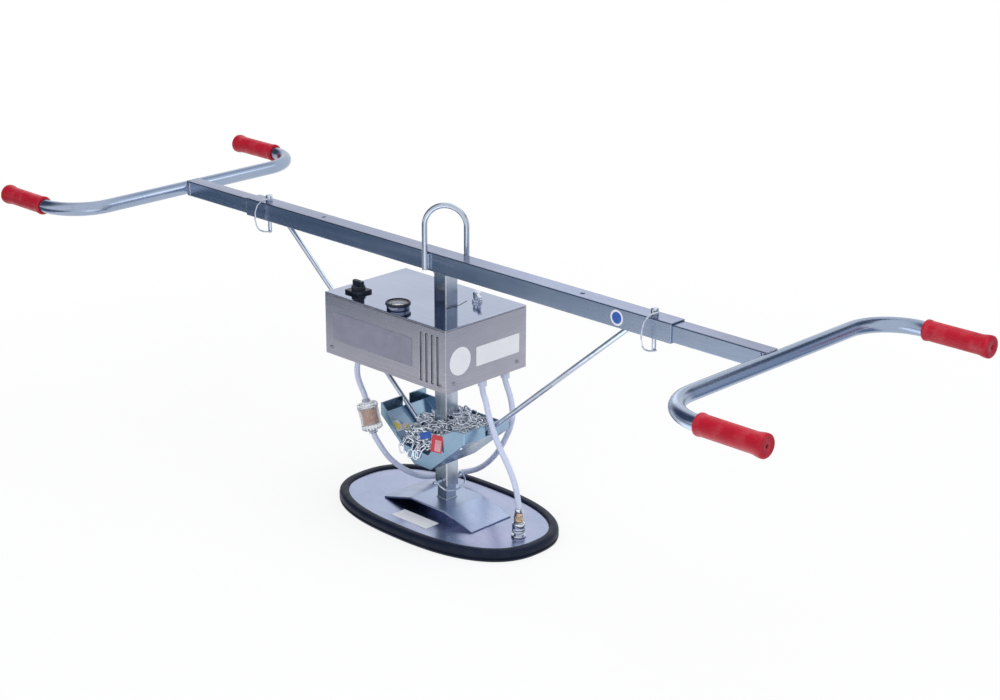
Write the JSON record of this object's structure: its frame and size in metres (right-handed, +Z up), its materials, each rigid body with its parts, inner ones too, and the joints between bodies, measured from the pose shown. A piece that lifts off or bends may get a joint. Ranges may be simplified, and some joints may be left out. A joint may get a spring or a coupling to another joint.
{
  "type": "vacuum slab lifter",
  "caption": "Two-man vacuum slab lifter: telescopic crossbar with handles, boxed vacuum unit, chain tray and oval suction plate.",
  "frame": {"origin": "centre of the footprint at the resting face: the column's axis is at X = Y = 0 and the seal rests on Z = 0", "axes": "+X along the crossbar towards the plate's quick coupling, +Y towards the back of the vacuum unit, +Z up"},
  "size_m": [1.92, 0.6352, 0.617],
  "materials": {
    "battery": "satin",
    "chain_tray": "galvanised",
    "column": "galvanised",
    "coupling_plug": "turned",
    "coupling_sleeve": "polished",
    "coupling_socket": "polished",
    "crossbar": "galvanised",
    "filter_bowl": "clear",
    "filter_cap_lower": "clear",
    "filter_cap_upper": "clear",
    "filter_element": "mesh",
    "gauge_case": "gloss",
    "gauge_dial": "matt",
    "gauge_lens": "clear",
    "gauge_needle": "matt",
    "grip_left_front": "ribbed",
    "grip_left_rear": "ribbed",
    "grip_right_front": "ribbed",
    "grip_right_rear": "ribbed",
    "handlebar_left": "galvanised",
    "handlebar_right": "galvanised",
    "hood": "brushed stainless",
    "hose_clamp": "plain",
    "hose_filter_in": "milky clear",
    "hose_filter_out": "milky clear",
    "hose_plate": "milky clear",
    "inner_tube_left": "galvanised",
    "inner_tube_right": "galvanised",
    "lifting_eye": "galvanised",
    "lock_pin_foot": "zinc plated",
    "lock_pin_left": "zinc plated",
    "lock_pin_right": "zinc plated",
    "manifold": "cast",
    "pin_bail_foot": "zinc plated",
    "pin_bail_left": "zinc plated",
    "pin_bail_right": "zinc plated",
    "port_filter_in": "polished",
    "port_filter_out": "polished",
    "port_plate": "polished",
    "pump_head": "cast",
    "pump_motor": "plain",
    "saddle_bracket": "galvanised",
    "safety_chain": "zinc plated",
    "seal_ring": "matt",
    "spigot": "galvanised",
    "strut_left": "galvanised",
    "strut_right": "galvanised",
    "suction_plate": "galvanised",
    "switch_base": "satin",
    "switch_knob": "satin",
    "unit_base": "brushed stainless",
    "valve_body": "polished",
    "valve_lever": "polished"
  },
  "bodies": {
    "frame": {"crossbar": "crossbar", "lifting_eye": "lifting_eye", "column": "column", "strut_left": "strut_left", "strut_right": "strut_right", "chain_tray": "chain_tray", "safety_chain": "safety_chain", "unit_base": "unit_base", "hood": "hood", "battery": "battery", "pump_head": "pump_head", "pump_motor": "pump_motor", "manifold": "manifold", "port_plate": "port_plate", "port_filter_out": "port_filter_out", "port_filter_in": "port_filter_in", "switch_base": "switch_base", "gauge_case": "gauge_case", "gauge_dial": "gauge_dial", "gauge_lens": "gauge_lens", "valve_body": "valve_body", "suction_plate": "suction_plate", "seal_ring": "seal_ring", "saddle_bracket": "saddle_bracket", "spigot": "spigot", "coupling_socket": "coupling_socket", "coupling_plug": "coupling_plug", "hose_clamp": "hose_clamp", "filter_bowl": "filter_bowl", "filter_element": "filter_element", "filter_cap_upper": "filter_cap_upper", "filter_cap_lower": "filter_cap_lower", "hose_plate": "hose_plate", "hose_filter_out": "hose_filter_out", "hose_filter_in": "hose_filter_in"},
    "handle_left": {"inner_tube_left": "inner_tube_left", "handlebar_left": "handlebar_left", "grip_left_front": "grip_left_front", "grip_left_rear": "grip_left_rear"},
    "handle_right": {"inner_tube_right": "inner_tube_right", "handlebar_right": "handlebar_right", "grip_right_front": "grip_right_front", "grip_right_rear": "grip_right_rear"},
    "pin_left": {"lock_pin_left": "lock_pin_left"},
    "bail_left": {"pin_bail_left": "pin_bail_left"},
    "pin_right": {"lock_pin_right": "lock_pin_right"},
    "bail_right": {"pin_bail_right": "pin_bail_right"},
    "foot_pin": {"lock_pin_foot": "lock_pin_foot"},
    "foot_bail": {"pin_bail_foot": "pin_bail_foot"},
    "knob": {"switch_knob": "switch_knob"},
    "needle": {"gauge_needle": "gauge_needle"},
    "lever": {"valve_lever": "valve_lever"},
    "sleeve": {"coupling_sleeve": "coupling_sleeve"}
  },
  "joints": [
    {"name": "handle_left_slide", "type": "slide", "parent": "frame", "child": "handle_left", "axis": [-1, 0, 0], "range_m": [0, 0.15]},
    {"name": "handle_right_slide", "type": "slide", "parent": "frame", "child": "handle_right", "axis": [1, 0, 0], "range_m": [0, 0.15]},
    {"name": "pin_left_lift", "type": "slide", "parent": "frame", "child": "pin_left", "axis": [0, 0, 1], "range_m": [0, 0.07]},
    {"name": "bail_left_swing", "type": "hinge", "parent": "pin_left", "child": "bail_left", "pos_m": [-0.497, 0, 0.5283], "axis": [-0.891, 0.454, 0], "range_deg": [0, 101]},
    {"name": "pin_right_lift", "type": "slide", "parent": "frame", "child": "pin_right", "axis": [0, 0, 1], "range_m": [0, 0.07]},
    {"name": "bail_right_swing", "type": "hinge", "parent": "pin_right", "child": "bail_right", "pos_m": [0.497, 0, 0.5283], "axis": [-0.9613, 0.2756, 0], "range_deg": [0, 101]},
    {"name": "foot_pin_pull", "type": "slide", "parent": "frame", "child": "foot_pin", "axis": [0, 1, 0], "range_m": [0, 0.052]},
    {"name": "foot_bail_swing", "type": "hinge", "parent": "foot_pin", "child": "foot_bail", "pos_m": [0, 0.0313, 0.077], "axis": [0.6157, 0, 0.788], "range_deg": [0, 72]},
    {"name": "switch_turn", "type": "hinge", "parent": "frame", "child": "knob", "pos_m": [-0.17, -0.062, 0.428], "axis": [0, 0, -1], "range_deg": [0, 90]},
    {"name": "gauge_swing", "type": "hinge", "parent": "frame", "child": "needle", "pos_m": [-0.047, -0.076, 0.426], "axis": [0, 0, -1], "range_deg": [0, 270], "stiffness_Nm_per_rad": 0.0002},
    {"name": "valve_turn", "type": "hinge", "parent": "frame", "child": "lever", "pos_m": [0.026, 0.055, 0.435], "axis": [0, 0, 1], "range_deg": [0, 90]},
    {"name": "sleeve_slide", "type": "slide", "parent": "frame", "child": "sleeve", "axis": [0, 0, -1], "range_m": [0, 0.004], "stiffness_N_per_m": 500, "springref_m": -0.003}
  ],
  "couplings": [
    {"joint": "bail_left_swing", "follows": "pin_left_lift", "rad_per_m": 25},
    {"joint": "bail_right_swing", "follows": "pin_right_lift", "rad_per_m": 25},
    {"joint": "foot_bail_swing", "follows": "foot_pin_pull", "rad_per_m": 24}
  ]
}
